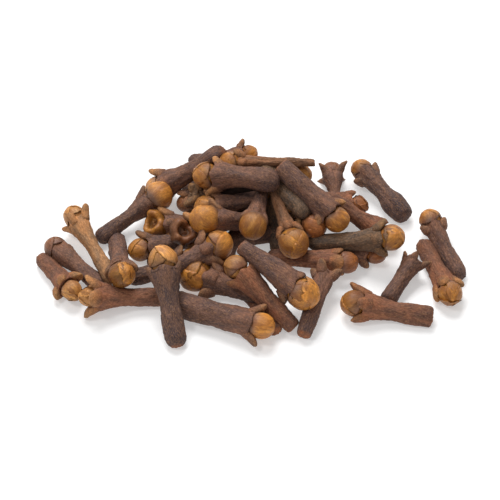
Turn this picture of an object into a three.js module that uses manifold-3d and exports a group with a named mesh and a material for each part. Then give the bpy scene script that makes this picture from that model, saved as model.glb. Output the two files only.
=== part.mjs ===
// A loose heap of whole dried cloves lying on a flat surface, with five cloves lying apart.
// Millimetres, +Z up, the flat surface at z = 0, the middle of the whole at the origin.
import * as THREE from "three";
import { ConvexGeometry } from "three/addons/geometries/ConvexGeometry.js";
import { mergeVertices } from "three/addons/utils/BufferGeometryUtils.js";
import Module from "manifold-3d";

const wasm = await Module();
wasm.setup();
const { Manifold, Mesh } = wasm;

// ---- driving dimensions
const SHIFT_X = 0.06; // moves the layout so that its box is centred on the origin
const SHIFT_Y = 0.11;
const GAP = 0.35; // clearance kept between the cloves that lie apart
const STEM_SIDES = 6;
const HIDDEN_SIDES = 5;
const BALL_STRETCH = 1.06; // the bud is a little longer than wide
const CALYX = 1.38; // widest part of the stem, under the bud, as a share of its radius
const TAIL = 0.78; // radius of the cut end, as a share of the stem's
const FLATTENING = 1.04; // corners of the few-sided rings stand out to keep the true girth
const SEPAL_WIDTH = 1.7;
const SEPAL_TIP = 0.3; // width of the blunt tip, as a share of the sepal's
const SEPAL_THICK = 0.62;
const SEPAL_OPEN = 1.65; // how far the tip stands out from the axis, in bud radii
const BALANCE = 0.42; // share of the length, from the bud, where a clove balances
const SMALL = 0.45; // size of the sepal that looks to the front and up, as a share
const CORE = { x: 1.5, y: 12, rx: 9, ry: 6.5, height: 5.2, sides: 14, rings: 4 };
const FLOOR_SIZE = 200;
const FRONT_UP = new THREE.Vector3(0, -0.68, 0.73);

// Shares of the length, from the bud's centre (0) to the tip of the stem (1), where a clove
// can touch what lies under it.
const CONTACTS = [0, 0.17];
for (let i = 0; i < 12; i++) CONTACTS.push(0.25 + 0.06 * i);

// ---- where each clove lies
// name, middle of the bud, tip of the stem, bud radius, stem radius, how far the stem bows up,
// and what else is special about it:
// roll = turn of its sepals in degrees, from one of them looking to the front and up,
// sepals = their size, each = the size of each sepal from that one on,
// kind = open (empty cup) or bare, plain = without sepals, as others hide them.
const HEAP = [
  // left arm of the heap
  ["left_1", [-28.7, -10.4, 2.2], [-34.5, -2.5, 1.1], 1.9, 1.5, 0, {}],
  ["left_2", [-31.9, -1.5, 2.2], [-24, -9, 1.1], 1.9, 1.5, 0.3, {}],
  [
    "left_3", [-29.4, 4.5, 3.6], [-22.2, -8.5, 2.9], 1.9, 1.4, -0.4,
    { roll: 15, each: [0.7, 1.5, 1, 1.4] },
  ],
  ["left_4", [-15.9, 8.4, 4.6], [-25.2, 2.2, 1.1], 2.4, 1.5, 0, { each: [0.25, 0.6, 1, 1] }],
  [
    "left_5", [-26, -12.8, 3.5], [-13, -11, 1.1], 2, 1.6, -0.1,
    { roll: 15, each: [0.8, 1, 0.8, 1] },
  ],
  ["low_1", [-10, -4, 2.2], [-19.5, -6.5, 1.3], 1.9, 1.5, -0.2, {}],
  ["low_2", [-5, -5.5, 2], [-1.5, 5, 1], 1.9, 1.4, 0.4, { plain: true }],
  // right arm
  ["right_1", [20.5, -2.1, 2], [11.5, -0.5, 1], 1.8, 1.4, -0.4, { sepals: 0.75 }],
  ["right_2", [15.5, -4.9, 2.8], [3.5, -2.2, 1.1], 2, 1.5, 0.2, {}],
  [
    "right_3", [14.5, 17.7, 2.1], [15, 6, 1.1], 1.9, 1.45, 0.2,
    { roll: 45, sepals: 1.1, each: [1, 1, 1, 1] },
  ],
  // front edge
  ["front_1", [-1.5, -8, 2], [4, -17.5, 1], 1.9, 1.3, -0.4, {}],
  [
    "front_2", [12.5, -7, 3.4], [8.5, -18.5, 1.1], 1.6, 1.6, 0.4,
    { kind: "bare", roll: 35, sepals: 1.1, each: [1, 1, 1, 1] },
  ],
  ["front_3", [-8, -8, 2.8], [0.6, -12.2, 3], 2.7, 1.7, -0.2, { each: [0.2, 1, 1, 0.8] }],
  ["front_4", [-2, -10, 6.9], [6.5, -17, 1.5], 2, 1.65, -0.1, { sepals: 0.8 }],
  ["front_5", [1.5, -17.8, 2.7], [-12, -12.8, 1.9], 2, 2.1, -0.2, { each: [0.2, 1, 1, 1.15] }],
  // bottom layer, mostly hidden
  ["low_3", [6, 6.5, 2.3], [-6.5, 7, 1.2], 2.1, 1.6, -0.4, { plain: true }],
  ["low_6", [8, 3, 2.1], [-4, 1.4, 1.2], 2.1, 1.5, 0, { plain: true }],
  ["low_4", [9.6, 11.4, 2.3], [-3, 12.5, 1.2], 2.1, 1.6, 0.3, { plain: true }],
  ["low_5", [0, 17, 2.3], [-11, 13.5, 1.2], 2.1, 1.6, 0, { plain: true }],
  ["back_1", [0.5, 18.8, 2.6], [10, 16.5, 1.6], 2, 1.6, -0.3, { sepals: 0.6 }],
  ["back_2", [-10.5, 17.2, 2.6], [0.5, 16.5, 5], 2, 1.5, 0.4, {}],
  ["back_3", [7, 15.7, 4.4], [-4.5, 18.6, 3.8], 2, 1.5, -0.3, { sepals: 0.5 }],
  // second layer
  ["right_4", [18.1, 7.7, 3.4], [8.5, 8.8, 4.6], 1.9, 1.5, 0.1, {}],
  ["mid_1", [-18, -1.5, 2.2], [-8, 2, 1.1], 1.9, 1.5, 0.3, {}],
  ["left_6", [-20.5, -9.5, 5], [-22.5, 2, 0.9], 2.1, 1.6, -0.4, { sepals: 0.7 }],
  ["mid_2", [-11.5, 9.5, 1.9], [-1, 14, 3.4], 1.9, 1.5, 0.4, {}],
  ["mid_3", [-10.5, 8.5, 5.9], [0, 9.5, 0.6], 1.6, 1.3, -0.1, { roll: 30, each: [1, 1, 1, 1] }],
  ["mid_4", [-15.5, 4, 2.3], [-4, 5, 2.3], 2.3, 1.5, -0.2, { kind: "open" }],
  ["mid_5", [-11, 0, 4.7], [-1, 4.5, 3], 2.3, 1.5, 0.4, { kind: "open" }],
  ["mid_6", [-5.5, -4, 5.7], [-14.5, -9, 4.8], 2.4, 1.5, -0.4, {}],
  ["front_6", [-13.8, -9, 7.9], [-11.5, -20, 0.8], 2.3, 1.85, 0.2, { each: [0.3, 1.1, 1, 1.1] }],
  ["right_5", [22.6, 2, 2], [13.5, 6, 6.4], 1.9, 1.7, 0.1, { each: [0.2, 0.4, 1, 1] }],
  ["right_6", [22.7, -2.6, 6.2], [10.3, -0.5, 3], 2.15, 1.55, -0.4, {}],
  ["front_7", [8, -13.5, 5.3], [-1, -7.5, 8.7], 2.6, 1.7, 0.4, { each: [0.15, 0.8, 1, 0.8] }],
  // summit
  ["top_1", [4, 8.5, 5], [4.5, -0.5, 1.2], 1.9, 1.3, -0.3, { plain: true }],
  ["top_2", [-7, 5, 5.7], [2.5, 8, 4.7], 2, 1.5, 0, {}],
  ["top_3", [-7.1, 0.5, 7.3], [2, 3.5, 2.9], 2.4, 1.6, 0.3, {}],
  ["top_4", [10.6, 1.6, 5.1], [7.5, 13, 5.5], 2.1, 1.5, -0.4, {}],
  ["top_5", [8.3, 11.5, 7], [-2, 17, 5], 1.9, 1.4, 0.3, {}],
  ["top_6", [0.5, -0.5, 7.2], [3, 12.5, 6.5], 2.2, 1.3, 0, { sepals: 0.75 }],
  ["top_7", [7, -2.5, 5.3], [4, 7.5, 7.5], 2.5, 1.2, -0.3, { sepals: 0.75 }],
  ["top_8", [2.2, 11.6, 8.2], [8.9, 1.9, 7.1], 1.7, 1.4, 0.4, {}],
  ["top_9", [-0.4, 14.4, 9.2], [-10, 14.5, 7.5], 1.45, 1.3, -0.4, {}],
  ["top_10", [-3, 11.5, 9.8], [10.5, 11.3, 9.9], 1.85, 0.95, 0.1, {}],
  ["top_11", [14, 1.5, 6.6], [5.5, 8.5, 11], 2.1, 1.9, 0.2, { sepals: 0.85 }],
  ["left_7", [-15.9, 12.3, 3], [-5, 13.4, 10.4], 2, 1.8, -0.4, { each: [0.25, 0.9, 1, 0.45] }],
  ["top_12", [-7, 9, 9.2], [4, 6.5, 10], 2.2, 2, 0.4, {}],
];

// The cloves that lie apart, to the right of the heap: their heights follow from how they rest.
const APART = [
  ["loose_clove_1", [16.8, -13.5], [28.2, -15.1], 2.1, 1.7, -0.2, { each: [0.6, 1.2, 1, 0.95] }],
  ["loose_clove_2", [32, -10.8], [29.1, 0.7], 1.9, 1.45, -0.1, {}],
  [
    "loose_clove_3", [27.3, -4], [22.7, -10.7], 1.6, 1.5, 0.4,
    { kind: "bare", roll: 25, each: [0.9, 1, 1, 1] },
  ],
  ["loose_clove_4", [30.5, 4.3], [34.4, -6.3], 1.9, 1.4, -0.4, {}],
  ["loose_clove_5", [19.9, 16.8], [26.1, 7.4], 1.9, 1.95, 0.3, {}],
];

// ---- how a clove comes to rest
// Radius of the clove at each contact share.
function contactRadii(ball, girth) {
  return CONTACTS.map((t) => {
    if (t === 0) return ball;
    if (t < 0.2) return Math.max(0.98 * ball, 1.32 * girth);
    return girth * (1.12 - 0.34 * t);
  });
}

// Each clove drops straight down and comes to rest as a straight line on two supports, one on
// either side of its balance point: the floor or cloves that already lie there.
function layOut(rows, placed, clearance) {
  return rows.map(([name, [bx, by], [tx, ty], ball, girth, bow, more]) => {
    const radii = contactRadii(ball, girth);
    const spots = CONTACTS.map((t, k) => {
      const x = bx + (tx - bx) * t;
      const y = by + (ty - by) * t;
      let height = radii[k];
      for (const p of placed) {
        const reach = p.r + radii[k] + clearance;
        const off2 = (p.x - x) ** 2 + (p.y - y) ** 2;
        if (off2 < reach * reach) {
          height = Math.max(height, p.z + Math.sqrt(reach * reach - off2));
        }
      }
      return { t, x, y, height };
    });
    let zBall = 0;
    let zTail = 0;
    let best = -1;
    for (const a of spots) {
      if (a.t > BALANCE) continue;
      for (const b of spots) {
        if (b.t <= BALANCE) continue;
        const slope = (b.height - a.height) / (b.t - a.t);
        const middle = a.height + slope * (BALANCE - a.t);
        if (middle > best) {
          best = middle;
          zBall = a.height - slope * a.t;
          zTail = zBall + slope;
        }
      }
    }
    spots.forEach((s, k) => {
      placed.push({ x: s.x, y: s.y, z: zBall + (zTail - zBall) * s.t, r: radii[k] });
    });
    return [name, [bx, by, zBall], [tx, ty, zTail], ball, girth, bow, more];
  });
}

// ---- the pieces of one clove, in its own frame: bud centre at the origin, stem along +X
// A closed three.js geometry as a solid that can be joined and cut.
function solid(geometry) {
  geometry.deleteAttribute("normal");
  geometry.deleteAttribute("uv");
  const { attributes, index } = mergeVertices(geometry);
  return new Manifold(
    new Mesh({
      numProp: 3,
      vertProperties: new Float32Array(attributes.position.array),
      triVerts: new Uint32Array(index.array),
    }),
  );
}

// Bud and stem in one, turned from a profile of distances along the axis and radii.
// An empty cup turns in over its rim instead of closing over the bud.
function body(length, girth, ball, sides, bend, empty) {
  const front = empty
    ? [
        [0.3 * ball, 0],
        [-0.4 * ball, 0.8 * ball],
        [-0.35 * ball, 1.02 * ball],
      ]
    : [
        [-BALL_STRETCH * ball, 0],
        [-0.78 * ball, 0.66 * ball],
        [0.05 * ball, 1.02 * ball],
      ];
  const end = length + 0.55 * girth;
  const rings = [
    ...front,
    [0.75 * ball, 0.97 * Math.max(ball * 0.9, girth * 1.25)],
    [0.15 * length, CALYX * girth],
    [0.28 * length, 1.08 * girth],
    [length, TAIL * girth],
    [end, 0.55 * TAIL * girth],
    [end, 0],
  ];
  const profile = rings.map(([x, r]) => new THREE.Vector2(FLATTENING * r, x));
  const turned = new THREE.LatheGeometry(profile, sides).rotateZ(-Math.PI / 2);
  const spots = turned.attributes.position;
  for (let i = 0; i < spots.count; i++) {
    const share = Math.max(spots.getX(i), 0) / (length + girth);
    spots.setZ(i, spots.getZ(i) + bend * Math.sin(Math.PI * share));
  }
  return solid(turned);
}

// One sepal: a thick blunt leaf that grows from the rim and stands out beside the bud.
function sepal(length, girth, ball, size, turn) {
  const foot = 0.2 * length;
  const half = 0.5 * SEPAL_WIDTH * size;
  const tipX = -0.1 * ball;
  const tipR = SEPAL_OPEN * ball * (0.75 + 0.25 * size);
  const leaf = [
    new THREE.Vector3(foot + 0.3, 0.8 * girth, 0),
    new THREE.Vector3(0.55 * foot, 1.3 * girth, -half),
    new THREE.Vector3(0.55 * foot, 1.3 * girth, half),
    new THREE.Vector3(tipX, tipR, -SEPAL_TIP * half),
    new THREE.Vector3(tipX, tipR, SEPAL_TIP * half),
    new THREE.Vector3(tipX - 0.5 * SEPAL_THICK, tipR - 0.9 * SEPAL_THICK, 0),
  ];
  return solid(new ConvexGeometry(leaf).rotateX(THREE.MathUtils.degToRad(turn)));
}

// From the clove's own frame to where it lies.
function frameOf(bud, tip) {
  const along = tip.clone().sub(bud).normalize();
  const side = new THREE.Vector3(0, 0, 1).cross(along).normalize();
  const up = along.clone().cross(side);
  return new THREE.Matrix4().makeBasis(along, side, up).setPosition(bud);
}

// What lies below the flat surface: a block that trims everything at z = 0.
const floor = new THREE.BoxGeometry(FLOOR_SIZE, FLOOR_SIZE, 0.2 * FLOOR_SIZE);
const FLOOR = solid(floor.translate(0, 0, -0.1 * FLOOR_SIZE));

function build([name, budPlace, tipPlace, ball, girth, bow, more], index) {
  const bud = new THREE.Vector3(...budPlace);
  const tip = new THREE.Vector3(...tipPlace);
  const frame = frameOf(bud, tip);
  const length = bud.distanceTo(tip);
  const size = more.sepals || 1;
  const each = more.each || [SMALL, 1, 1, 1];
  const shown = FRONT_UP.clone().transformDirection(frame.clone().invert());
  const roll = THREE.MathUtils.radToDeg(Math.atan2(shown.z, shown.y)) + (more.roll || 0);
  const sides = more.plain ? HIDDEN_SIDES : STEM_SIDES;
  const parts = [body(length, girth, ball, sides, bow, Boolean(more.kind))];
  if (!more.plain) {
    for (let k = 0; k < 4; k++) {
      const own = size * Math.max(each[k], SMALL) * (0.95 + 0.1 * Math.sin(5 * index + 2.3 * k));
      parts.push(sepal(length, girth, ball, own, roll + 90 * k));
    }
  }
  const made = Manifold.union(parts).transform(frame.elements).translate([SHIFT_X, SHIFT_Y, 0]);
  return { name, made };
}

// A low rounded mound inside the heap, flat underneath.
function core() {
  const { x, y, rx, ry, height, sides, rings } = CORE;
  const profile = [new THREE.Vector2(0, 0)];
  for (let i = rings; i >= 0; i--) {
    const share = i / rings;
    profile.push(new THREE.Vector2(share, Math.cos((Math.PI / 2) * share ** 1.4)));
  }
  profile[1].y = 0;
  profile[rings + 1].x = 0;
  const mound = new THREE.LatheGeometry(profile, sides).rotateX(Math.PI / 2);
  return solid(mound.scale(rx, ry, height).translate(x + SHIFT_X, y + SHIFT_Y, 0));
}

// A joined solid with its sealed hollows filled.
function filled(made) {
  const pieces = made.decompose().filter((piece) => piece.volume() > 0);
  pieces.sort((a, b) => b.volume() - a.volume());
  return pieces[0];
}

function meshOf(name, made, color) {
  const m = made.getMesh();
  const shape = new THREE.BufferGeometry();
  shape.setAttribute("position", new THREE.BufferAttribute(m.vertProperties, 3));
  shape.setIndex(new THREE.BufferAttribute(m.triVerts, 1));
  shape.computeVertexNormals();
  const mesh = new THREE.Mesh(
    shape,
    new THREE.MeshStandardMaterial({ color, roughness: 0.75, flatShading: true }),
  );
  mesh.name = name;
  return mesh;
}

const group = new THREE.Group();
group.name = "whole_cloves";

const heapCloves = HEAP.map(build).map((clove) => clove.made);
const heap = Manifold.union([core(), ...heapCloves]).subtract(FLOOR);
group.add(meshOf("clove_heap", filled(heap), 0x5a3527));

layOut(APART, [], GAP).map(build).forEach(({ name, made }) => {
  group.add(meshOf(name, filled(made.subtract(FLOOR)), 0x6a4130));
});

export default group;
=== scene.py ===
import math
import random

import bmesh
import bpy
import numpy as np
from mathutils import Matrix, Vector, noise


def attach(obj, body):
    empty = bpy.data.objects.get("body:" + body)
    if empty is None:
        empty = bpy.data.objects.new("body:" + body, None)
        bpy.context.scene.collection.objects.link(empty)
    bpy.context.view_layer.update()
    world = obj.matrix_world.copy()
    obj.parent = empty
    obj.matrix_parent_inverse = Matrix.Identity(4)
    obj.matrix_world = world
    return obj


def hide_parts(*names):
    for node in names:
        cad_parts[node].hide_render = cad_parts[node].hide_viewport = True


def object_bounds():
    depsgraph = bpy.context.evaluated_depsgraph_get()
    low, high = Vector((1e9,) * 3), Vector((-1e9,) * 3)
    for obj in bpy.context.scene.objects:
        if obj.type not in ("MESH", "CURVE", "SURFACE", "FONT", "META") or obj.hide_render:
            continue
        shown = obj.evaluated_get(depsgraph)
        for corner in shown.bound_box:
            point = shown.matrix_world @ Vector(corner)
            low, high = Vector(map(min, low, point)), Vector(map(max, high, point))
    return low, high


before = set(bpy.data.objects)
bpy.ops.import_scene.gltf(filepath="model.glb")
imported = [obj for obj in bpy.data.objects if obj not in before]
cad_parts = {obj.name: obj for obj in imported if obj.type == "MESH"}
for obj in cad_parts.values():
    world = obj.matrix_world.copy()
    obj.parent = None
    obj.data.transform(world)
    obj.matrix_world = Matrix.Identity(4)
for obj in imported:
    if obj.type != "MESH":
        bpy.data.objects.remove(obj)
cad_low, cad_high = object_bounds()

MM = 0.001
TURN = 2 * math.pi
BOX_LOW = np.array(cad_low) / MM
BOX_HIGH = np.array(cad_high) / MM
FRONT_UP = Vector((0, -0.68, 0.73))  # the side that shows most
FIRST_SEED = 1000
SKIN_STEP, BUD_STEP = 37.1, 53.7  # from one clove's place in the noise to the next one's

# ---- the layout, as the solids have it
SHIFT = Vector((0.06, 0.11, 0))  # brings the middle of the heap's box to the origin
CORE = {"x": 1.5, "y": 12.0, "rx": 9.0, "ry": 6.5, "height": 5.2}

# Each row: name, middle of the bud, tip of the stem, bud radius, stem radius, how far the stem
# bows up, and what is special about the clove. Directions round it are in degrees, from the one
# that looks to the front and up.
# skin, leaf, petals   tints of the stem, the sepals and the bud: umber, the stem's and gold
#                      where they aren't given
# form                 stem radii at neck, belly and tail, in stem radii
# cut, scar            1 for a stem cut square and 0 for a rounded one, how pale its end is
# cup, mouth           how far the calyx leaves the bud free, and its width
# lobes, open          shape of the sepals, and how far they open, in degrees from the axis
# roll, sepals, each   where the first sepal points, the size of all, and of each from that one on
# kind                 open, torn or bare, where the bud isn't a closed one
# small, proud, face   size of the bud, how far it stands out, and where its front looks
# spin, wide           where the uppermost petal lies, and its extra reach in degrees
# tones, ragged        how light each petal is, and how torn their edges are
# dark                 how far up the bud the dark skin colour and painted shade go
HEAP = {
    "left": [
        ("left_1", (-28.7, -10.4, 2.2), (-34.5, -2.5, 1.1), 1.9, 1.5, 0.0,
         {"skin": "rust", "leaf": "tan", "petals": "straw", "small": 0.85, "kind": "torn",
          "each": (0.6, 1, 1, 1), "tones": (0.45, 0.6, 0.5, 0.75), "spin": 20}),
        ("left_2", (-31.9, -1.5, 2.2), (-24, -9, 1.1), 1.9, 1.5, 0.3,
         {"proud": 0.2, "petals": "bark", "cup": 0.1, "mouth": 0.9, "dark": 0.55,
          "each": (0, 0.8, 0.5, 0.3), "form": (0.9, 0.95, 0.9)}),
        ("left_3", (-29.4, 4.5, 3.6), (-22.2, -8.5, 2.9), 1.9, 1.4, -0.4,
         {"roll": 15, "each": (0.7, 1.25, 1, 1.15), "open": 62, "skin": "tan", "petals": "straw",
          "lobes": "knob", "form": (0.8, 0.95, 1.05)}),
        ("left_4", (-15.9, 8.4, 4.6), (-25.2, 2.2, 1.1), 2.4, 1.5, 0.0,
         {"each": (0.25, 0.6, 1, 1), "spin": 5, "wide": 16, "tones": (0.85, 0.9, 0.95, 1.08),
          "skin": "dusk", "form": (0.85, 0.95, 0.98)}),
        ("left_5", (-26, -12.8, 3.5), (-13, -11, 1.1), 2.0, 1.6, -0.1,
         {"skin": "rust", "leaf": "tan", "petals": "straw", "tones": (0.6, 0.7, 0.6, 0.8),
          "lobes": "broad", "kind": "torn", "small": 0.75, "mouth": 1.1, "proud": -0.3,
          "roll": 10, "each": (0.8, 1.05, 0.9, 1.1), "form": (0.9, 0.95, 1.0)}),
        ("left_6", (-20.5, -9.5, 5), (-22.5, 2, 0.9), 2.1, 1.6, -0.4,
         {"sepals": 0.7, "ragged": 0.1, "tones": (0.5, 0.42, 0.4, 1.0), "spin": 70, "wide": -8,
          "face": (0.35, -0.8, 0.5), "form": (0.95, 1.0, 0.9)}),
        ("left_7", (-15.8, 12.4, 3.1), (-5, 13.4, 10.4), 2.1, 1.8, -0.4,
         {"leaf": "tan", "each": (0.25, 0.9, 1, 1.05), "lobes": "tongue", "open": 58,
          "petals": "straw"}),
    ],
    "right": [
        ("right_1", (20.5, -2.1, 2), (11.5, -0.5, 1), 1.8, 1.4, -0.4,
         {"sepals": 0.75, "petals": "copper"}),
        ("right_2", (15.5, -4.9, 2.8), (3.5, -2.2, 1.1), 2.0, 1.5, 0.2,
         {"skin": "rust", "leaf": "tan", "petals": "copper", "small": 0.92, "dark": 0.8,
          "each": (0.7, 0.5, 1, 0.6), "lobes": "broad", "open": 40}),
        ("right_3", (14.5, 17.7, 2.1), (15, 6, 1.1), 1.9, 1.45, 0.2,
         {"sepals": 1.1, "petals": "bark", "lobes": "star", "roll": 45, "each": (1, 1, 1, 1),
          "proud": -0.25, "form": (0.66, 0.78, 0.74)}),
        ("right_4", (18.1, 7.7, 3.4), (8.5, 8.8, 4.6), 1.9, 1.5, 0.1,
         {"each": (0.4, 0.5, 1, 1), "petals": "copper", "kind": "torn", "small": 0.85,
          "tones": (0.4, 0.6, 0.4, 0.7), "skin": "rust"}),
        ("right_5", (22.6, 2.0, 2.0), (13.5, 6, 6.4), 1.9, 1.58, 0.1,
         {"each": (0.2, 0.4, 1, 1), "skin": "rust", "petals": "straw"}),
        ("right_6", (22.7, -2.6, 6.2), (10.3, -0.5, 3), 2.15, 1.55, -0.4,
         {"skin": "olive", "tones": (0.8, 0.5, 0.9, 1.05), "spin": 100, "ragged": 0.1,
          "form": (1.0, 0.95, 0.95)}),
    ],
    "front": [
        ("front_1", (-1.5, -8, 2), (4, -17.5, 1), 1.9, 1.3, -0.4,
         {"skin": "rust", "petals": "amber", "kind": "torn", "dark": 0.1,
          "tones": (0.5, 0.65, 0.55, 0.75), "scar": 0.45}),
        ("front_2", (12.5, -7, 3.4), (8.6, -18.2, 1.1), 1.6, 1.6, 0.4,
         {"roll": 35, "each": (1, 1, 1, 1), "kind": "bare", "sepals": 1.1, "lobes": "tongue",
          "scar": 0.45, "form": (0.9, 0.9, 0.8)}),
        ("front_3", (-8.0, -8.0, 2.8), (0.6, -12.2, 3), 2.7, 1.7, -0.2,
         {"spin": 100, "wide": 12, "tones": (0.8, 1.1, 0.62, 1.15), "each": (0.2, 1, 1, 0.8),
          "proud": 0.3, "face": (-0.85, -0.5, 0.15), "form": (0.85, 0.75, 0.6)}),
        ("front_4", (-2, -10, 6.9), (6.5, -17, 1.5), 2.0, 1.65, -0.1,
         {"skin": "rust", "petals": "straw", "tones": (0.45, 0.55, 0.5, 0.66), "sepals": 0.8,
          "small": 0.95, "dark": 0.7, "form": (0.98, 0.9, 0.75)}),
        ("front_5", (1.5, -18.2, 2.7), (-12, -12.8, 1.9), 2.0, 2.1, -0.2,
         {"wide": 42, "tones": (1.1, 1.15, 1.2, 1.3), "each": (0.2, 1, 1, 1.15),
          "lobes": "tongue", "roll": 10, "form": (0.95, 1.0, 1.0)}),
        ("front_6", (-13.8, -9, 7.9), (-11.5, -20, 0.8), 2.3, 1.85, 0.2,
         {"skin": "dusk", "petals": "straw", "tones": (0.6, 0.6, 0.65, 1.25), "proud": -0.08,
          "cup": 0.6, "open": 70, "each": (0, 0.6, 1, 0.55), "cut": 0, "spin": -65, "scar": 0.6,
          "form": (0.88, 0.93, 0.95)}),
        ("front_7", (8, -13.5, 5.3), (-1, -7.5, 8.7), 2.6, 1.7, 0.4,
         {"form": (1.1, 0.85, 0.75), "ragged": 0.12, "each": (0.15, 0.45, 1, 0.8), "spin": 75,
          "tones": (0.8, 0.86, 0.84, 1.25)}),
    ],
    "calyx_skin_and_shade": [
        ("low_1", (-10, -4, 2.2), (-19.5, -7.1, 1.3), 1.9, 1.5, -0.2, {"skin": "dusk"}),
        ("low_2", (-5, -5.5, 2), (-1.5, 5, 1), 1.9, 1.4, 0.4,
         {"skin": "dusk", "petals": "copper"}),
        ("low_3", (6, 6.5, 2.3), (-6.5, 7, 1.2), 2.1, 1.6, -0.4, {"skin": "dusk"}),
        ("low_6", (8, 3, 2.1), (-4, 1.4, 1.2), 2.1, 1.5, 0, {"skin": "dusk"}),
        ("low_4", (9.6, 11.4, 2.3), (-3, 12.5, 1.2), 2.1, 1.6, 0.3, {"skin": "dusk"}),
        ("low_5", (0, 17, 2.3), (-11, 13.5, 1.2), 2.1, 1.6, 0.0, {}),
    ],
    "back": [
        ("back_1", (0.5, 18.4, 2.3), (10, 16.3, 1.5), 2.0, 1.5, -0.3, {"each": (0, 0, 1, 0)}),
        ("back_2", (-10.5, 17.2, 2.6), (0.5, 16.5, 5), 2.0, 1.5, 0.4,
         {"kind": "bare", "sepals": 0.5}),
        ("back_3", (7, 15.5, 4.1), (-4.5, 18.3, 3.6), 2.0, 1.5, -0.3, {"each": (0, 0, 1, 0)}),
    ],
    "middle": [
        ("mid_1", (-18, -1.5, 2.2), (-8, 2, 1.1), 1.9, 1.5, 0.3, {"skin": "dusk"}),
        ("mid_2", (-11.5, 9.5, 1.9), (-1, 14, 3.4), 1.9, 1.5, 0.4,
         {"petals": "bark", "small": 0.8, "proud": -0.25, "lobes": "broad", "open": 35,
          "each": (0.8, 1, 1, 1)}),
        ("mid_3", (-10.5, 8.5, 5.9), (0, 9.5, 0.6), 1.6, 1.3, -0.1,
         {"skin": "olive", "kind": "bare", "each": (0.8, 1, 1, 1), "roll": 30}),
        ("mid_4", (-15.5, 4, 2.3), (-4, 5, 2.3), 2.3, 1.5, -0.2,
         {"kind": "open", "leaf": "tan", "face": (-0.45, -0.35, 0.8)}),
        ("mid_5", (-11, 0, 4.7), (-1, 4.5, 3), 2.3, 1.5, 0.4,
         {"kind": "open", "petals": "bark", "leaf": "tan", "face": (0.3, -0.45, 0.8)}),
        ("mid_6", (-5.5, -4, 5.7), (-14.5, -9, 4.8), 2.4, 1.5, -0.4,
         {"tones": (0.9, 1.0, 0.95, 1.15)}),
    ],
    "summit": [
        ("top_1", (4, 8.5, 5), (4.5, -0.5, 1.2), 1.9, 1.3, -0.3, {"skin": "olive"}),
        ("top_2", (-7, 5, 5.7), (2.5, 8, 4.7), 2.0, 1.5, 0.0, {}),
        ("top_3", (-7.1, 0.5, 7.3), (2, 3.5, 2.9), 2.4, 1.6, 0.3,
         {"tones": (0.66, 0.72, 0.7, 0.95), "spin": 60, "wide": 45, "face": (-0.6, -0.7, 0.4)}),
        ("top_4", (10.6, 1.6, 5.1), (7.5, 13, 5.5), 2.1, 1.5, -0.4,
         {"leaf": "tan", "petals": "copper", "tones": (0.7, 0.75, 0.75, 0.85), "spin": -60}),
        ("top_5", (8.3, 11.5, 7), (-2, 17, 5), 1.9, 1.4, 0.3, {}),
        ("top_6", (0.5, -0.5, 7.2), (3, 12.5, 6.5), 2.2, 1.3, 0.0,
         {"sepals": 0.55, "tones": (0.5, 0.55, 0.5, 0.7), "spin": 0, "wide": 58,
          "form": (0.85, 0.8, 0.8)}),
        ("top_7", (7, -2.5, 5.3), (4, 7.5, 7.5), 2.5, 1.2, -0.3,
         {"skin": "sienna", "sepals": 0.5, "spin": 110, "wide": 6,
          "tones": (0.75, 0.85, 0.8, 0.92), "form": (0.9, 0.9, 0.85)}),
        ("top_8", (2.2, 11.6, 8.2), (8.9, 1.9, 7.1), 1.7, 1.4, 0.4, {"skin": "olive"}),
        ("top_9", (-0.4, 14.4, 9.2), (-10, 14.5, 7.5), 1.45, 1.3, -0.4, {"lobes": "knob"}),
        ("top_10", (-3, 11.5, 9.8), (10.5, 11.3, 9.9), 1.85, 0.95, 0.1,
         {"skin": "sienna", "form": (0.95, 0.85, 0.7)}),
        ("top_11", (14, 1.5, 6.6), (5.5, 8.5, 11), 2.1, 1.9, 0.2,
         {"leaf": "tan", "sepals": 0.85, "spin": -25, "tones": (0.7, 0.9, 0.9, 1.05),
          "form": (0.95, 0.95, 0.85)}),
        ("top_12", (-7, 9, 9.2), (4, 6.5, 10), 2.2, 2.0, 0.4,
         {"leaf": "tan", "form": (0.85, 1.0, 0.9)}),
    ],
}
APART = [
    ("loose_clove_1", (16.8, -13.5, 2.44), (28.2, -15.1, 1.27), 2.1, 1.7, -0.2,
     {"each": (0.8, 0.95, 1, 1.5), "spin": 120, "tones": (0.6, 0.55, 0.6, 0.95), "skin": "rust",
      "dark": 0.5, "lobes": "tongue", "open": 56, "form": (0.92, 1.0, 0.98), "cut": 1}),
    ("loose_clove_2", (32, -10.8, 2.08), (29.1, 0.7, 1.09), 1.9, 1.45, -0.1,
     {"skin": "rust", "leaf": "tan", "kind": "torn", "tones": (0.6, 0.95, 0.6, 0.85), "spin": 30,
      "each": (0.7, 1, 0.8, 1.1), "open": 50, "form": (1.05, 1.05, 1.0)}),
    ("loose_clove_3", (27.3, -4, 2.92), (22.5, -11.1, 1.0), 1.6, 1.5, 0.4,
     {"lobes": "star", "open": 62, "kind": "bare", "roll": 25, "each": (0.9, 1, 1, 1), "cut": 1,
      "form": (0.88, 0.9, 1.0)}),
    ("loose_clove_4", (30.5, 4.3, 3.08), (34.4, -6.3, 1.05), 1.9, 1.4, -0.4,
     {"cup": 0.1, "mouth": 0.92, "dark": 0.5, "spin": 0, "proud": 0.05,
      "each": (0, 0.75, 0.5, 0.9), "lobes": "point", "open": 62, "form": (0.95, 1.05, 1.0)}),
    ("loose_clove_5", (19.9, 16.8, 2.8), (26.1, 7.4, 1.46), 1.9, 1.95, 0.3,
     {"skin": "dusk", "cup": 0.1, "mouth": 0.92, "dark": 0.4, "spin": 0, "proud": 0.15, "cut": 1,
      "each": (0, 0.75, 0.5, 1.15), "lobes": "point", "open": 62, "form": (0.76, 1.06, 0.85)}),
]


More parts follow.
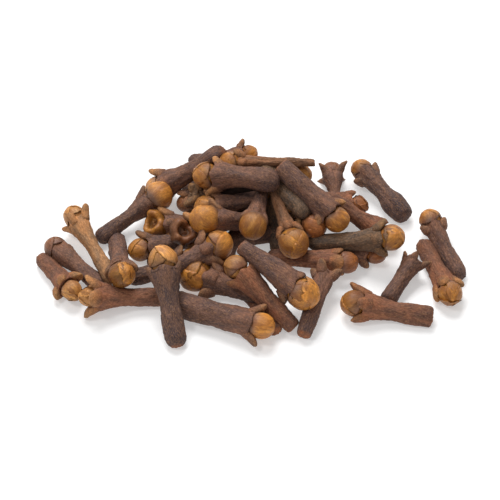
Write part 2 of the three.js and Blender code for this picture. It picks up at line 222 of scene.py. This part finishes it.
def colour(red, green, blue):
    """Linear colour of a shade given as display values from 0 to 255."""
    linear = []
    for value in (red, green, blue):
        share = value / 255
        linear.append(share / 12.92 if share < 0.04045 else ((share + 0.055) / 1.055) ** 2.4)
    return np.array(linear)


def grey(value):
    return (value, value, value)


SKINS = {
    "umber": colour(103, 79, 70),
    "dusk": colour(92, 73, 67),
    "rust": colour(118, 82, 65),
    "sienna": colour(124, 91, 68),
    "tan": colour(152, 116, 82),
    "olive": colour(94, 79, 66),
}
PETALS = {
    "gold": colour(184, 120, 50),
    "amber": colour(190, 114, 38),
    "straw": colour(208, 144, 76),
    "copper": colour(172, 104, 54),
    "bark": colour(140, 90, 56),
}
DRY = colour(168, 128, 86)  # edges and insides of the sepals
STAIN = colour(118, 66, 36)  # on the petals
GRANULE = colour(172, 126, 88)  # in the skin


class Clove:
    """One clove: its sizes, where its bud and the tip of its stem lie, and what is special."""

    def __init__(self, row, index):
        _, bud, tip, self.ball, self.girth, self.bow, self.more = row
        self.index = index
        self.bud = Vector(bud)
        self.tip = Vector(tip)
        self.length = (self.tip - self.bud).length
        self.dice = random.Random(FIRST_SEED + index)
        shown = self.matrix().to_3x3().inverted() @ FRONT_UP
        self.shown = math.atan2(shown.z, shown.y)
        self.roll = self.shown + math.radians(self.more.get("roll", self.dice.uniform(-15, 15)))

    def matrix(self):
        """From the clove's own frame, bud at the origin and stem along +X, to where it lies."""
        along = (self.tip - self.bud).normalized()
        side = Vector((0, 0, 1)).cross(along).normalized()
        up = along.cross(side)
        turned = Matrix((along, side, up)).transposed().to_4x4()
        return Matrix.Translation(self.bud + SHIFT) @ turned


# ---- shapes shared by all cloves
def turned_tube(name, rings, steps):
    """A closed tube about +X: ring i lies at x = i, and both ends close on the axis."""
    bm = bmesh.new()
    line = [bm.verts.new((i, 0 if i in (0, rings - 1) else 1, 0)) for i in range(rings)]
    edges = [bm.edges.new(pair) for pair in zip(line, line[1:])]
    bmesh.ops.spin(bm, geom=line + edges, axis=(1, 0, 0), angle=TURN, steps=steps, use_merge=True)
    bmesh.ops.remove_doubles(bm, verts=bm.verts, dist=1e-4)
    bmesh.ops.recalc_face_normals(bm, faces=bm.faces)
    for face in bm.faces:
        face.smooth = True
    mesh = bpy.data.meshes.new(name)
    bm.to_mesh(mesh)
    bm.free()
    return mesh


def coordinates(mesh):
    flat = np.zeros(3 * len(mesh.vertices))
    mesh.vertices.foreach_get("co", flat)
    return flat.reshape(-1, 3)


def ring_and_angle(mesh):
    """Which ring of a turned tube each vertex is on, and its angle from +Y towards +Z."""
    spots = coordinates(mesh)
    return np.rint(spots[:, 0]).astype(int), np.arctan2(spots[:, 2], spots[:, 1])


def smooth_curve(xs, ys, at):
    """A smooth line through the points (xs, ys), read at each value of at."""
    xs, ys = np.array(xs, float), np.array(ys, float)
    slopes = np.gradient(ys, xs)
    at = np.clip(at, xs[0], xs[-1])
    i = np.clip(np.searchsorted(xs, at) - 1, 0, len(xs) - 2)
    span = xs[i + 1] - xs[i]
    t = (at - xs[i]) / span
    return (
        (2 * t**3 - 3 * t**2 + 1) * ys[i]
        + (t**3 - 2 * t**2 + t) * span * slopes[i]
        + (3 * t**2 - 2 * t**3) * ys[i + 1]
        + (t**3 - t**2) * span * slopes[i + 1]
    )


def noise_at(points, scale, offset):
    """Smooth noise from -1 to 1 at each point, with features about 1 / scale across."""
    scaled = points * scale + offset
    return np.array([noise.noise(Vector(p)) for p in scaled.tolist()])


# ---- stem, with the rim that the sepals stand on
TAIL_RINGS = 6
STEM_RINGS = 48
STEM_STEPS = 64
CALYX_X = 0.8  # where the stem ends and the calyx begins, in bud radii
RIM = ((0.5, 0.0), (0.2, 0.02), (0.0, -0.1), (0.06, -0.3), (0.5, -0.55))  # x and r, in mm
# under the bud, or a shallow pit where the bud is gone: x and r in bud radii
PIT = ((0.7, 0.7), (0.72, 0.5), (0.85, 0.3), (0.9, 0.0))
TAILS = (  # distance from the end and radius of its rings, rounded or cut square
    ((0, 0.03, 0.12, 0.28, 0.5, 0.8), (0, 0.26, 0.52, 0.74, 0.9, 0.98)),
    ((0, 0.01, 0.05, 0.13, 0.28, 0.5), (0, 0.4, 0.72, 0.88, 0.97, 1)),
)
BODY_RINGS = TAIL_RINGS + STEM_RINGS + len(RIM) + len(PIT)
body_mesh = turned_tube("clove_body", BODY_RINGS, STEM_STEPS)
body_ring, body_angle = ring_and_angle(body_mesh)


def calyx_radius(clove):
    """As wide as the stem asks for, but no wider or narrower than the bud allows."""
    usual = min(max(1.3 * clove.girth, 0.62 * clove.ball), 1.08 * clove.ball)
    return usual * clove.more.get("mouth", 1)


def stem_profile(clove):
    """Distance along the axis and radius of each ring, from the cut end to the calyx."""
    length, girth, ball, dice = clove.length, clove.girth, clove.ball, clove.dice
    usual = (dice.uniform(0.86, 0.98), dice.uniform(0.93, 1.04), dice.uniform(0.78, 0.92))
    neck, belly, tail = [girth * share for share in clove.more.get("form", usual)]
    end = length + 0.5 * girth
    cut = clove.more.get("cut", dice.choice((0, 0, 1)))
    xs = [end - girth * back for back in TAILS[cut][0]]
    calyx = calyx_radius(clove)
    first = CALYX_X * ball
    marks = [first + (end - first) * share for share in (0, 0.07, 0.19, 0.38, 0.7, 1)]
    radii = [calyx, 0.97 * calyx, 0.45 * calyx + 0.56 * neck, neck, belly, tail]
    along = np.linspace(xs[-1] - 0.05, first, STEM_RINGS)
    rs = smooth_curve(marks, radii, np.concatenate([xs, along]))
    rs[:TAIL_RINGS] *= TAILS[cut][1]
    return np.concatenate([xs, along]), rs


def body_shape(clove):
    """The vertices of stem, calyx and pit in the clove's own frame."""
    length, ball = clove.length, clove.ball
    xs, rs = stem_profile(clove)
    off = body_angle - clove.roll
    four = np.cos(4 * off)
    ring = np.minimum(body_ring, len(xs) - 1)
    x, r = xs[ring], rs[ring]
    fade = np.exp(-np.maximum(x - CALYX_X * ball, 0) / (0.16 * length))
    r = r * (1 + (0.02 + 0.06 * fade) * four)

    rim_x = ball * (clove.more.get("cup", 0.42) - 0.1 * four)
    rim_r = rs[-1] * (1 + 0.08 * four)
    for i, (dx, dr) in enumerate(RIM, len(xs)):
        x = np.where(body_ring == i, rim_x + dx, x)
        r = np.where(body_ring == i, rim_r + dr, r)
    for i, (pit_x, pit_r) in enumerate(PIT, len(xs) + len(RIM)):
        x = np.where(body_ring == i, pit_x * ball, x)
        r = np.where(body_ring == i, pit_r * ball, r)
    return np.stack([x, r * np.cos(body_angle), r * np.sin(body_angle)], axis=1)


def bent(points, clove):
    """Bows the stem out of line."""
    share = np.maximum(points[:, 0], 0) / (clove.length + clove.girth)
    points[:, 2] += clove.bow * np.sin(math.pi * np.clip(share, 0, 1))
    return points


def normals_of(mesh, points):
    """Vertex normals of the shared mesh with its vertices moved to these points."""
    mesh.vertices.foreach_set("co", points.ravel())
    mesh.update()
    flat = np.zeros(3 * len(mesh.vertices))
    mesh.vertex_normals.foreach_get("vector", flat)
    return flat.reshape(-1, 3)


def wrinkled(mesh, points, clove, stretch, depth):
    """Folds and pits in the skin: the moved points, the folds, the wrinkles and the grain."""
    offset = SKIN_STEP * clove.index
    grain = points * stretch
    folds = noise_at(grain, 1.1, offset)
    wrinkles = 1 - 2 * np.abs(noise_at(grain, 2.3, offset + 5))
    pits = noise_at(points, 3.4, offset + 9)
    height = (0.14 * folds + 0.08 * wrinkles + 0.05 * pits) * depth
    normals = normals_of(mesh, points)
    return points + normals * height[:, None], folds, wrinkles, grain + offset


def clove_body(clove):
    """Vertices, tints and grain of stem and calyx: warm at the bud, cool towards the cut end."""
    points = body_shape(clove)
    depth = np.where(body_ring >= BODY_RINGS - len(PIT), 0.3, 1.0)
    stretch = np.array([[0.38, 1.1, 1.1]])  # the wrinkles run along the stem
    points, folds, wrinkles, grain = wrinkled(body_mesh, points, clove, stretch, depth)
    points = bent(points, clove)
    tint = SKINS[clove.more.get("skin", "umber")]
    along = np.clip(points[:, 0] / clove.length, 0, 1)
    shade = 1 + 0.22 * folds + 0.2 * wrinkles
    warm = np.clip(0.45 - along, 0, 1)[:, None] * np.array([[0.62, 0.36, 0.1]])
    cool = np.clip(along - 0.5, 0, 1)[:, None] * np.array([[0.45, 0.36, 0.2]])
    tints = tint * (shade[:, None] + warm - cool)
    end = clove.length + 0.5 * clove.girth
    scar = np.clip(1.2 - (end - points[:, 0]) / (0.22 * clove.girth), 0, 1)
    scar = (scar * clove.more.get("scar", clove.dice.choice((0, 0, 0.35))))[:, None]
    return points, tints * (1 - scar) + scar * PETALS["copper"], grain


# ---- sepals: four thick lobes round the bud
SEPAL_RINGS, SEPAL_STEPS = 12, 18
CURL_STEPS = 80
EACH = (0.25, 1, 1, 1)  # the sepal that looks to the front and up is worn short
# free length and half width in bud radii, half thickness in mm, angle to the axis at the tip,
# and the widths along the lobe, as shares of the half width
LOBES = {
    "usual": (0.76, 0.56, 0.68, 80, (0.9, 1.0, 1.0, 0.95, 0.88, 0.78)),
    "tongue": (1.12, 0.52, 0.62, 76, (1.0, 1.0, 0.95, 0.92, 0.9, 0.8)),
    "point": (0.9, 0.62, 0.62, 80, (0.9, 1.0, 0.98, 0.86, 0.7, 0.52)),
    "knob": (1.05, 0.42, 0.52, 104, (1.2, 1.0, 0.9, 0.92, 1.0, 1.05)),
    "broad": (1.1, 0.72, 0.56, 62, (0.9, 1.0, 1.0, 0.95, 0.85, 0.62)),
    "star": (1.15, 0.5, 0.42, 98, (1.1, 1.0, 0.9, 0.72, 0.5, 0.3)),
}
sepal_mesh = turned_tube("clove_sepal", SEPAL_RINGS, SEPAL_STEPS)
sepal_ring, sepal_angle = ring_and_angle(sepal_mesh)


def sepal_shape(clove, k):
    """One sepal: a tongue that grows out of the calyx and curls away from the axis."""
    dice = clove.dice
    kind = clove.more.get("lobes", dice.choice(("usual", "usual", "tongue", "point")))
    free, half, thick, tip, widths = LOBES[kind]
    size = clove.more.get("sepals", 1) * clove.more.get("each", EACH)[k]
    length = clove.ball * (0.6 + free * size * dice.uniform(0.88, 1.1))
    root = math.radians(dice.uniform(4, 12))
    tip = math.radians(clove.more.get("open", tip) + dice.uniform(-18, 14))
    tip = root + (tip - root) * min(1, 0.1 + 1.1 * size)  # a short one still hugs the bud
    steps = np.linspace(0, 1, CURL_STEPS)
    step = length / (CURL_STEPS - 1)
    leans = root + (tip - root) * steps**1.2
    ahead = np.concatenate([[0], np.cumsum(np.cos(leans[1:]))]) * step
    away = np.concatenate([[0], np.cumsum(np.sin(leans[1:]))]) * step

    share = sepal_ring / (SEPAL_RINGS - 1)
    share = 1 - (1 - share) ** 1.4
    lean = np.interp(share, steps, leans)
    x = 1.3 * clove.ball - np.interp(share, steps, ahead)
    r = 0.68 * calyx_radius(clove) + np.interp(share, steps, away)
    inside = (sepal_ring > 0) & (sepal_ring < SEPAL_RINGS - 1)
    end = np.sqrt(np.maximum(1 - share**6, 0)) * inside
    wide = half * clove.ball * smooth_curve(np.linspace(0, 1, 6), widths, share) * end
    deep = thick * min(1, 0.55 + 0.5 * size) * end
    deep = deep * smooth_curve((0, 0.35, 1), (0.8, 1.0, 0.8), share)
    u = wide * np.cos(sepal_angle)
    v = deep * np.sin(sepal_angle) + 0.2 * deep * (1 - np.cos(2 * sepal_angle))
    aside = u / np.maximum(r, 0.9 * clove.ball) + dice.uniform(-0.14, 0.14) * share
    turn = clove.roll + k * TURN / 4 + aside
    x = x + v * np.sin(lean)
    r = r + v * np.cos(lean)
    return np.stack([x, r * np.cos(turn), r * np.sin(turn)], axis=1), share, min(1, size)


def clove_sepals(clove):
    """Yields (mesh, vertices, tints, grain) of each sepal."""
    stem_name = clove.more.get("skin", "umber")
    stem_tint = SKINS[stem_name] * np.array([1.28, 1.14, 1.02])
    leaf_tint = SKINS[clove.more.get("leaf", stem_name)] * np.array([1.24, 1.16, 1.02])
    for k in range(4):
        if clove.more.get("each", EACH)[k] == 0:
            continue
        points, share, size = sepal_shape(clove, k)
        rim = np.abs(np.cos(sepal_angle)) ** 3
        inner = np.clip(-np.sin(sepal_angle), 0, 1)
        points, folds, _, grain = wrinkled(sepal_mesh, points, clove, 1.0, 0.7)
        shade = 1 + 0.2 * folds
        own = (size * np.clip(1.4 * share - 0.2, 0, 1))[:, None]
        tints = (stem_tint * (1 - own) + leaf_tint * own) * shade[:, None]
        pale = size * np.clip(0.04 + 0.45 * share * rim + 0.4 * inner * share, 0, 0.8)[:, None]
        yield sepal_mesh, points, tints * (1 - pale) + pale * DRY, grain


# ---- bud: a ball under four petals, the last one over the others
BALL_RINGS, BALL_STEPS = 16, 32
PETAL_OUT, PETAL_IN, PETAL_STEPS = 10, 4, 40  # rings outside and inside a petal
PETAL_THICK = 0.08
PETAL_ORDER = (0, 2, 1, 3)  # quarter turns, so that the second petal lies opposite the first
PETAL_EXTRA = (0, 2, 6, 6)  # how much further than the first each petal reaches, in degrees
ROLLED_RING = 7  # the rim of an opened bud
ball_mesh = turned_tube("clove_ball", BALL_RINGS, BALL_STEPS)
ball_ring, ball_angle = ring_and_angle(ball_mesh)
petal_mesh = turned_tube("clove_petal", PETAL_OUT + PETAL_IN, PETAL_STEPS)
petal_ring, petal_angle = ring_and_angle(petal_mesh)
# an opened bud, from the middle of its hollow over the rolled rim to its back, in bud radii
OPEN_X = (-0.42, -0.4, -0.36, -0.32, -0.36, -0.5, -0.68, -0.76, -0.66, -0.45, -0.2, 0.1, 0.4,
          0.68, 0.88, 0.95)
OPEN_R = (0, 0.12, 0.22, 0.32, 0.38, 0.42, 0.5, 0.66, 0.82, 0.92, 0.98, 0.97, 0.87, 0.65, 0.35, 0)


def ball_shape(clove):
    """The ball under the petals, or what is left of it."""
    polar = math.pi * ball_ring / (BALL_RINGS - 1)
    x, r = -0.95 * np.cos(polar), 0.95 * np.sin(polar)
    if clove.more.get("kind") == "open":
        x, r = np.array(OPEN_X)[ball_ring], np.array(OPEN_R)[ball_ring]
        dent = 0.16 * np.sin(2 * ball_angle + clove.index) + 0.1 * np.sin(3 * ball_angle)
        dent = dent + 0.05 * np.sin(7 * ball_angle)
        x, r = x * (1 + dent), r * (1 + 0.6 * dent)
    return clove.ball * np.stack([x, r * np.cos(ball_angle), r * np.sin(ball_angle)], axis=1)


def petal_shape(clove, k):
    """One petal: a thin round cap laid on the ball, one side under its neighbour."""
    dice = clove.dice
    torn = clove.more.get("kind") == "torn"
    lean = math.radians(dice.uniform(42, 54))
    wide = clove.more.get("wide", 0) if k == 3 else 0
    reach = math.radians(dice.uniform(62, 70) + PETAL_EXTRA[k] + wide)
    if torn:
        lean, reach = math.radians(dice.uniform(50, 62)), math.radians(dice.uniform(55, 64))
    order = PETAL_ORDER[k]
    spin = clove.more.get("spin", 60 * math.sin(7 * clove.index))
    azimuth = clove.shown + math.radians(spin) + TURN * (order - 3) / 4 + dice.uniform(-0.2, 0.2)
    out = np.array([0, math.cos(azimuth), math.sin(azimuth)])
    front = np.array([-1.0, 0, 0])
    centre = math.cos(lean) * front + math.sin(lean) * out
    ahead = math.sin(lean) * front - math.cos(lean) * out
    side = np.cross(centre, ahead)

    outer = petal_ring < PETAL_OUT
    share = np.where(
        outer,
        petal_ring / (PETAL_OUT - 1),
        1 - (petal_ring - PETAL_OUT + 1) / PETAL_IN,
    )
    ragged = clove.more.get("ragged", 0.07 if torn else dice.uniform(0.01, 0.04))
    wave = ragged * np.sin(3 * petal_angle + dice.uniform(0, 6))
    wave = wave + 0.6 * ragged * np.sin(7 * petal_angle + dice.uniform(0, 6))
    wave = wave + 0.3 * ragged * np.sin(15 * petal_angle + dice.uniform(0, 6))
    spread = share * reach * (1 + wave * share**2)
    tangent = (
        np.cos(petal_angle)[:, None] * ahead[None, :]
        + np.sin(petal_angle)[:, None] * side[None, :]
    )
    way = np.cos(spread)[:, None] * centre[None, :] + np.sin(spread)[:, None] * tangent
    peel = dice.uniform(0.04, 0.14) if torn else dice.uniform(0.0, 0.03)
    lift = 0.004 + 0.011 * k + 0.01 * np.sin(petal_angle) * share + peel * share**6
    lift = lift + 0.0008 * max(wide, 0)
    radius = clove.ball * (1 + lift) - np.where(outer, 0, PETAL_THICK)
    points = way * radius[:, None]
    streak = np.stack([
        (points @ ahead) * 0.45,
        (points @ side) * 1.6,
        (points @ centre) * 0.9,
    ], axis=1)
    return points, share, streak


def clove_bud(clove):
    """Yields (mesh, vertices, tints, grain) for the ball and each petal."""
    kind = clove.more.get("kind")
    if kind == "bare":
        return
    tint = PETALS[clove.more.get("petals", "gold")]
    offset = BUD_STEP * clove.index
    stretch = np.array([1.04, 0.98, 0.98]) * clove.more.get("small", 1)
    # the stem's skin colour laid over the base of the bud: the calyx's own colour together with
    # painted shade
    calyx_skin_and_shade = SKINS[clove.more.get("skin", "umber")] * 1.05
    points = ball_shape(clove)
    lumps = noise_at(points, 0.6, offset)
    swell = 0.03 * lumps
    shade = 0.74 + 0.2 * lumps
    if kind == "open":
        rough = noise_at(points, 1.1, offset)
        swell = 0.12 * rough
        # an opened bud is darkened all over except its rolled rim, which is lightened as a painted
        # highlight
        rim_highlight = np.exp(-(((ball_ring - ROLLED_RING) / 1.8) ** 2))
        shade = 0.55 * (shade + 0.32 * rough) + 0.5 * rim_highlight
    swollen = points * stretch * (1 + swell)[:, None]
    yield ball_mesh, swollen, tint * shade[:, None], points + offset
    if kind == "open":
        return
    for k in range(4):
        points, share, streak = petal_shape(clove, k)
        lumps = noise_at(points, 0.6, offset)
        creases = noise_at(streak, 2.1, offset + 3 * k)
        points = points * stretch * (1 + 0.045 * lumps + 0.032 * creases)[:, None]
        tone = clove.dice.uniform(0.68, 0.88) + 0.04 * k
        if "tones" in clove.more:
            tone = clove.more["tones"][k]
        shade = tone * (1 + 0.2 * lumps + 0.2 * creases)
        # painted highlight: each petal grows lighter towards its edge
        shade = shade + 0.3 * (np.clip(share - 0.62, 0, 1) / 0.38) ** 2
        # towards the calyx the petals turn to the dark skin colour: partly the calyx's own colour,
        # partly painted shade where the bud sits in its cup
        calyx_skin_and_shade_amount = points[:, 0] / clove.ball + clove.more.get("dark", 0.3) + 0.12 * lumps
        calyx_skin_and_shade_amount = (0.9 * np.clip(calyx_skin_and_shade_amount / 0.8, 0, 1) ** 1.3)[:, None]
        tints = tint * shade[:, None] * (1 - calyx_skin_and_shade_amount) + calyx_skin_and_shade * calyx_skin_and_shade_amount
        yield petal_mesh, points, tints, streak + offset + 7 * k


# ---- pieces
def moved(points, matrix):
    """The points where the clove lies, kept above the surface and inside the solids' box."""
    turned = points @ np.array(matrix.to_3x3()).T + np.array(matrix.translation)
    turned[:, 2] = np.maximum(turned[:, 2], 0.0)
    return np.clip(turned, BOX_LOW, BOX_HIGH)


def piece(name, parts, material, nodes):
    """One mesh object from copies of the shared meshes: parts = (mesh, points, tints, grain)."""
    bm = bmesh.new()
    for mesh, _, _, _ in parts:
        bm.from_mesh(mesh)
    made = bpy.data.meshes.new(name)
    bm.to_mesh(made)
    bm.free()
    points = np.concatenate([part[1] for part in parts]) * MM
    made.vertices.foreach_set("co", points.ravel())
    tints = np.concatenate([part[2] for part in parts])
    rgba = np.concatenate([np.clip(tints, 0, 1), np.ones((len(tints), 1))], axis=1)
    made.attributes.new("tint", "FLOAT_COLOR", "POINT").data.foreach_set("color", rgba.ravel())
    grain = np.concatenate([part[3] for part in parts])
    made.attributes.new("grain", "FLOAT_VECTOR", "POINT").data.foreach_set("vector", grain.ravel())
    made.update()
    made.materials.append(material)
    thing = bpy.data.objects.new(name, made)
    bpy.context.scene.collection.objects.link(thing)
    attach(thing, "root")
    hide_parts(*nodes)


# ---- materials
def new_material(name):
    material = bpy.data.materials.new(name)
    material.use_nodes = True
    nodes, links = material.node_tree.nodes, material.node_tree.links
    return material, nodes, links, nodes["Principled BSDF"]


def attribute(nodes, name, socket):
    node = nodes.new("ShaderNodeAttribute")
    node.attribute_name = name
    return node.outputs[socket]


def noise_texture(nodes, links, vector, scale, detail, roughness):
    node = nodes.new("ShaderNodeTexNoise")
    node.inputs["Scale"].default_value = scale
    node.inputs["Detail"].default_value = detail
    node.inputs["Roughness"].default_value = roughness
    links.new(vector, node.inputs["Vector"])
    return node.outputs["Fac"]


def ramp(nodes, links, value, stops):
    node = nodes.new("ShaderNodeValToRGB")
    while len(node.color_ramp.elements) < len(stops):
        node.color_ramp.elements.new(0.5)
    for element, (place, shade) in zip(node.color_ramp.elements, stops):
        element.position = place
        element.color = (*shade, 1)
    links.new(value, node.inputs["Fac"])
    return node.outputs["Color"]


def mixed(nodes, links, kind, factor, a, b):
    node = nodes.new("ShaderNodeMix")
    node.data_type = "RGBA"
    node.blend_type = kind
    if isinstance(factor, float):
        node.inputs["Factor"].default_value = factor
    else:
        links.new(factor, node.inputs["Factor"])
    for value, socket in ((a, node.inputs["A"]), (b, node.inputs["B"])):
        if isinstance(value, tuple):
            socket.default_value = value
        else:
            links.new(value, socket)
    return node.outputs["Result"]


def bump(nodes, links, height, strength, distance, normal=None):
    node = nodes.new("ShaderNodeBump")
    node.inputs["Strength"].default_value = strength
    node.inputs["Distance"].default_value = distance
    links.new(height, node.inputs["Height"])
    if normal is not None:
        links.new(normal, node.inputs["Normal"])
    return node.outputs["Normal"]


def skin_material():
    """Dry wrinkled skin of stems and sepals: dark folds, paler warm granules."""
    material, nodes, links, shader = new_material("clove_skin")
    grain = attribute(nodes, "grain", "Vector")
    tint = attribute(nodes, "tint", "Color")
    blotch = noise_texture(nodes, links, grain, 0.9, 3.0, 0.5)
    fine = noise_texture(nodes, links, grain, 4.6, 5.0, 0.7)
    grit = noise_texture(nodes, links, grain, 7.0, 3.0, 0.6)
    shade = ramp(nodes, links, fine, [(0.3, grey(0.5)), (0.5, grey(0.92)), (0.68, grey(1.5))])
    base = mixed(nodes, links, "MULTIPLY", 1.0, tint, shade)
    tone = ramp(nodes, links, blotch, [(0.35, (0.74, 0.75, 0.82)), (0.65, (1.28, 1.1, 0.94))])
    base = mixed(nodes, links, "MULTIPLY", 1.0, base, tone)
    speck = ramp(nodes, links, grit, [(0.54, grey(0)), (0.64, grey(0.5))])
    base = mixed(nodes, links, "MIX", speck, base, (*GRANULE, 1))
    links.new(base, shader.inputs["Base Color"])
    shader.inputs["Roughness"].default_value = 0.72
    shader.inputs["Specular IOR Level"].default_value = 0.2
    normal = bump(nodes, links, fine, 0.7, 0.00014)
    normal = bump(nodes, links, grit, 0.6, 0.00007, normal)
    links.new(normal, shader.inputs["Normal"])
    return material


def petal_material():
    """Silky papery petals with fine pores, brown stains, and paler spots that are both pale-gold
    tone and painted sheen.
    """
    material, nodes, links, shader = new_material("clove_petal")
    grain = attribute(nodes, "grain", "Vector")
    tint = attribute(nodes, "tint", "Color")
    pores = noise_texture(nodes, links, grain, 3.6, 6.0, 0.75)
    stains = noise_texture(nodes, links, grain, 0.55, 3.0, 0.55)
    pale_tone_and_sheen = noise_texture(nodes, links, grain, 0.9, 2.0, 0.5)
    shade = ramp(nodes, links, pores, [(0.32, grey(0.62)), (0.5, grey(0.98)), (0.68, grey(1.32))])
    base = mixed(nodes, links, "MULTIPLY", 1.0, tint, shade)
    stain = ramp(nodes, links, stains, [(0.46, grey(0)), (0.6, grey(0.5))])
    base = mixed(nodes, links, "MIX", stain, base, (*STAIN, 1))
    # paler spots: the petals' pale-gold tone, made stronger as a painted sheen
    pale = ramp(nodes, links, pale_tone_and_sheen, [(0.5, grey(1)), (0.66, (1.2, 1.28, 1.3))])
    base = mixed(nodes, links, "MULTIPLY", 1.0, base, pale)
    links.new(base, shader.inputs["Base Color"])
    shader.inputs["Roughness"].default_value = 0.42
    shader.inputs["Specular IOR Level"].default_value = 0.38
    normal = bump(nodes, links, pores, 0.8, 0.0001)
    links.new(normal, shader.inputs["Normal"])
    return material


def core_shade_material():
    """The inside of the heap in painted shade: dark clove browns as they look deep in shadow."""
    material, nodes, links, shader = new_material("heap_core")
    place = nodes.new("ShaderNodeTexCoord").outputs["Object"]
    lumps = noise_texture(nodes, links, place, 700.0, 4.0, 0.6)
    # painted shade: very dark clove browns standing in for the shadowed inside of the heap
    base = ramp(nodes, links, lumps, [(0.3, colour(38, 27, 23)), (0.7, colour(78, 56, 46))])
    links.new(base, shader.inputs["Base Color"])
    shader.inputs["Roughness"].default_value = 0.85
    links.new(bump(nodes, links, lumps, 0.6, 0.0003), shader.inputs["Normal"])
    return material


# ---- the heap
every_row = [row for rows in HEAP.values() for row in rows] + APART
cloves = {row[0]: Clove(row, index) for index, row in enumerate(every_row)}
skin = skin_material()
petals = petal_material()


def parts_of(clove):
    """The shapes of one clove where it lies: stem and sepals, and ball and petals."""
    matrix = clove.matrix()
    turned = Matrix.Translation((-clove.more.get("proud", 0.12) * clove.ball, 0, 0))
    if "face" in clove.more:
        front = matrix.to_3x3().inverted() @ Vector(clove.more["face"])
        turned @= Vector((-1, 0, 0)).rotation_difference(front).to_matrix().to_4x4()
    stem = [
        (mesh, moved(points, matrix), tints, grain)
        for mesh, points, tints, grain in [(body_mesh, *clove_body(clove)), *clove_sepals(clove)]
    ]
    bud = [
        (mesh, moved(points, matrix @ turned), tints, grain)
        for mesh, points, tints, grain in clove_bud(clove)
    ]
    return stem, bud


def make_core():
    """The mound inside the heap: a lumpy dome with a flat underside, coloured in painted shade."""
    bm = bmesh.new()
    bmesh.ops.create_uvsphere(bm, u_segments=40, v_segments=20, radius=1)
    for vert in bm.verts:
        lump = 1 + 0.06 * noise.noise(vert.co * 4)
        flat = max(vert.co.z, 0) * CORE["height"] * 0.94 * lump
        x = CORE["x"] + SHIFT.x + vert.co.x * CORE["rx"] * 0.97 * lump
        y = CORE["y"] + SHIFT.y + vert.co.y * CORE["ry"] * 0.97 * lump
        vert.co = Vector((x, y, flat)) * MM
    bmesh.ops.remove_doubles(bm, verts=bm.verts, dist=1e-6)
    for face in bm.faces:
        face.smooth = True
    mesh = bpy.data.meshes.new("heap_core")
    bm.to_mesh(mesh)
    bm.free()
    mesh.materials.append(core_shade_material())
    core = bpy.data.objects.new("heap_core", mesh)
    bpy.context.scene.collection.objects.link(core)
    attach(core, "root")
    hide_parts("clove_heap")


make_core()
for group, rows in HEAP.items():
    stems, buds = [], []
    for row in rows:
        stem, bud = parts_of(cloves[row[0]])
        stems += stem
        buds += bud
    piece(group + "_stems", stems, skin, ["clove_heap"])
    piece(group + "_buds", buds, petals, ["clove_heap"])
for row in APART:
    stem, bud = parts_of(cloves[row[0]])
    piece(row[0] + "_stem", stem, skin, [row[0]])
    if bud:
        piece(row[0] + "_bud", bud, petals, [row[0]])

# ---- surface, light and camera
VIEW_HEIGHT = math.radians(47)
VIEW_DISTANCE = 0.2
LENS = 85.7
SURFACE_HALF, SURFACE_DROP = 1.5, 0.00002


def make_stage():
    """A plain white surface, lit a little from within so that its shadows stay pale."""
    bm = bmesh.new()
    bmesh.ops.create_grid(bm, x_segments=1, y_segments=1, size=SURFACE_HALF)
    mesh = bpy.data.meshes.new("surface")
    bm.to_mesh(mesh)
    bm.free()
    mesh.transform(Matrix.Translation((0, 0, -SURFACE_DROP)))
    material, _, _, shader = new_material("white_surface")
    shader.inputs["Base Color"].default_value = (0.7, 0.7, 0.7, 1)
    shader.inputs["Emission Color"].default_value = (1, 1, 1, 1)
    shader.inputs["Emission Strength"].default_value = 0.36
    shader.inputs["Roughness"].default_value = 0.9
    shader.inputs["Specular IOR Level"].default_value = 0.0
    mesh.materials.append(material)
    surface = bpy.data.objects.new("surface", mesh)
    bpy.context.scene.collection.objects.link(surface)


def area_light(name, place, size, power):
    light = bpy.data.lights.new(name, "AREA")
    light.shape = "DISK"
    light.size = size
    light.energy = power
    lamp = bpy.data.objects.new(name, light)
    lamp.location = place
    lamp.rotation_euler = (-Vector(place)).to_track_quat("-Z", "Y").to_euler()
    bpy.context.scene.collection.objects.link(lamp)


def make_camera():
    target = SHIFT * MM
    back = Vector((0, -math.cos(VIEW_HEIGHT), math.sin(VIEW_HEIGHT)))
    data = bpy.data.cameras.new("camera")
    data.lens = LENS
    data.sensor_width = 36
    data.shift_y = 0.004
    data.clip_start = 0.01
    camera = bpy.data.objects.new("camera", data)
    camera.location = target + back * VIEW_DISTANCE
    camera.rotation_euler = (-back).to_track_quat("-Z", "Y").to_euler()
    bpy.context.scene.collection.objects.link(camera)
    bpy.context.scene.camera = camera


def make_studio():
    world = bpy.data.worlds.new("studio")
    world.use_nodes = True
    background = world.node_tree.nodes["Background"]
    background.inputs["Color"].default_value = (1, 1, 1, 1)
    background.inputs["Strength"].default_value = 0.45
    bpy.context.scene.world = world
    bpy.context.scene.view_settings.view_transform = "Standard"


make_stage()
area_light("softbox", (-0.05, 0.25, 0.4), 0.26, 1.9)
area_light("window", (-0.16, -0.06, 0.3), 0.07, 0.24)
make_studio()
make_camera()

for shared in (body_mesh, sepal_mesh, ball_mesh, petal_mesh):
    bpy.data.meshes.remove(shared)
